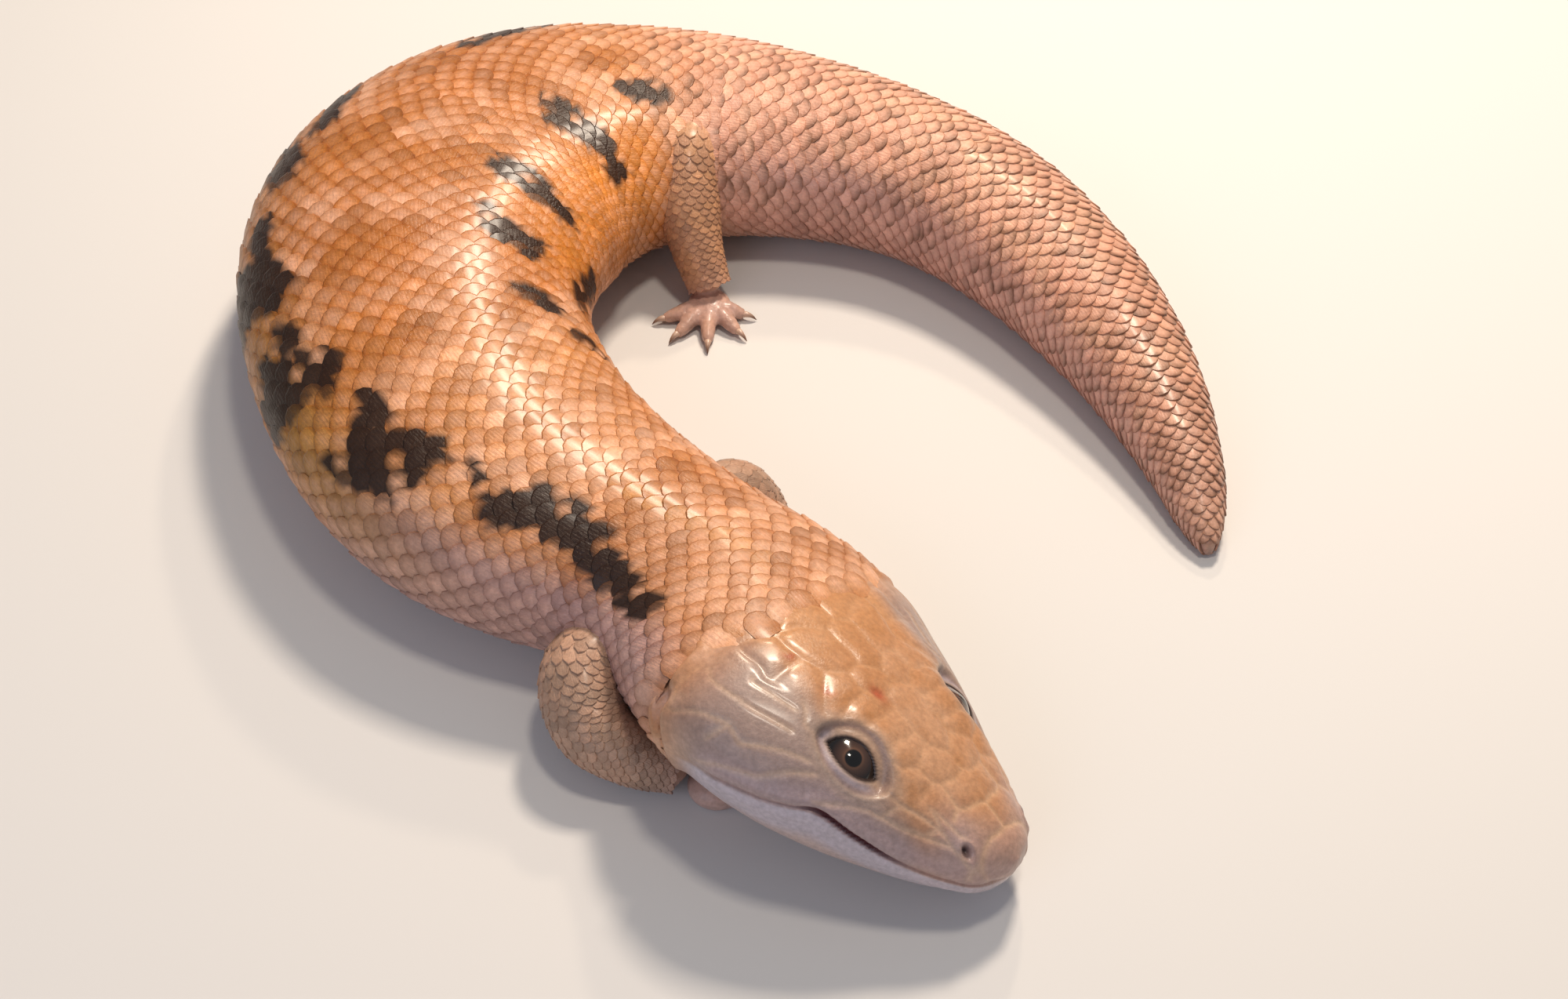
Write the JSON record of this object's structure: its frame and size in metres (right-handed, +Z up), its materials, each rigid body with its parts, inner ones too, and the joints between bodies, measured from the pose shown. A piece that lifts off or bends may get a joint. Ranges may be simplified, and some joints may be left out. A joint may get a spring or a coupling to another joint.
{
  "type": "blue tongued skink",
  "caption": "Still life-size blue tongued skink lying in a C bend, stout body, short legs and a large shielded head turned back beside its tail.",
  "frame": {"origin": "middle of the animal's floor plan, on the floor that it lies on", "axes": "+Z up, +Y away from the viewer of the reference picture, +X to that viewer's right"},
  "size_m": [0.2002, 0.2268, 0.0443],
  "materials": {
    "skin": "satin",
    "eyes": "polished",
    "claws": "satin"
  },
  "bodies": {
    "root": {"claw_front_left_1": "claws", "claw_front_left_2": "claws", "claw_front_left_3": "claws", "claw_front_left_4": "claws", "claw_front_left_5": "claws", "claw_front_right_1": "claws", "claw_front_right_2": "claws", "claw_front_right_3": "claws", "claw_front_right_4": "claws", "claw_front_right_5": "claws", "claw_hind_left_1": "claws", "claw_hind_left_2": "claws", "claw_hind_left_3": "claws", "claw_hind_left_4": "claws", "claw_hind_left_5": "claws", "claw_hind_right_1": "claws", "claw_hind_right_2": "claws", "claw_hind_right_3": "claws", "claw_hind_right_4": "claws", "claw_hind_right_5": "claws", "eye_left": "eyes", "eye_right": "eyes", "foot_front_left": "skin", "foot_front_right": "skin", "foot_hind_left": "skin", "foot_hind_right": "skin", "forearm_front_left": "skin", "forearm_front_right": "skin", "head": "skin", "lower_jaw": "skin", "neck": "skin", "shank_hind_left": "skin", "shank_hind_right": "skin", "tail_base": "skin", "tail_middle": "skin", "tail_tip": "skin", "thigh_hind_left": "skin", "thigh_hind_right": "skin", "torso_front": "skin", "torso_middle": "skin", "torso_rear": "skin", "upper_arm_front_left": "skin", "upper_arm_front_right": "skin"}
  },
  "joints": []
}
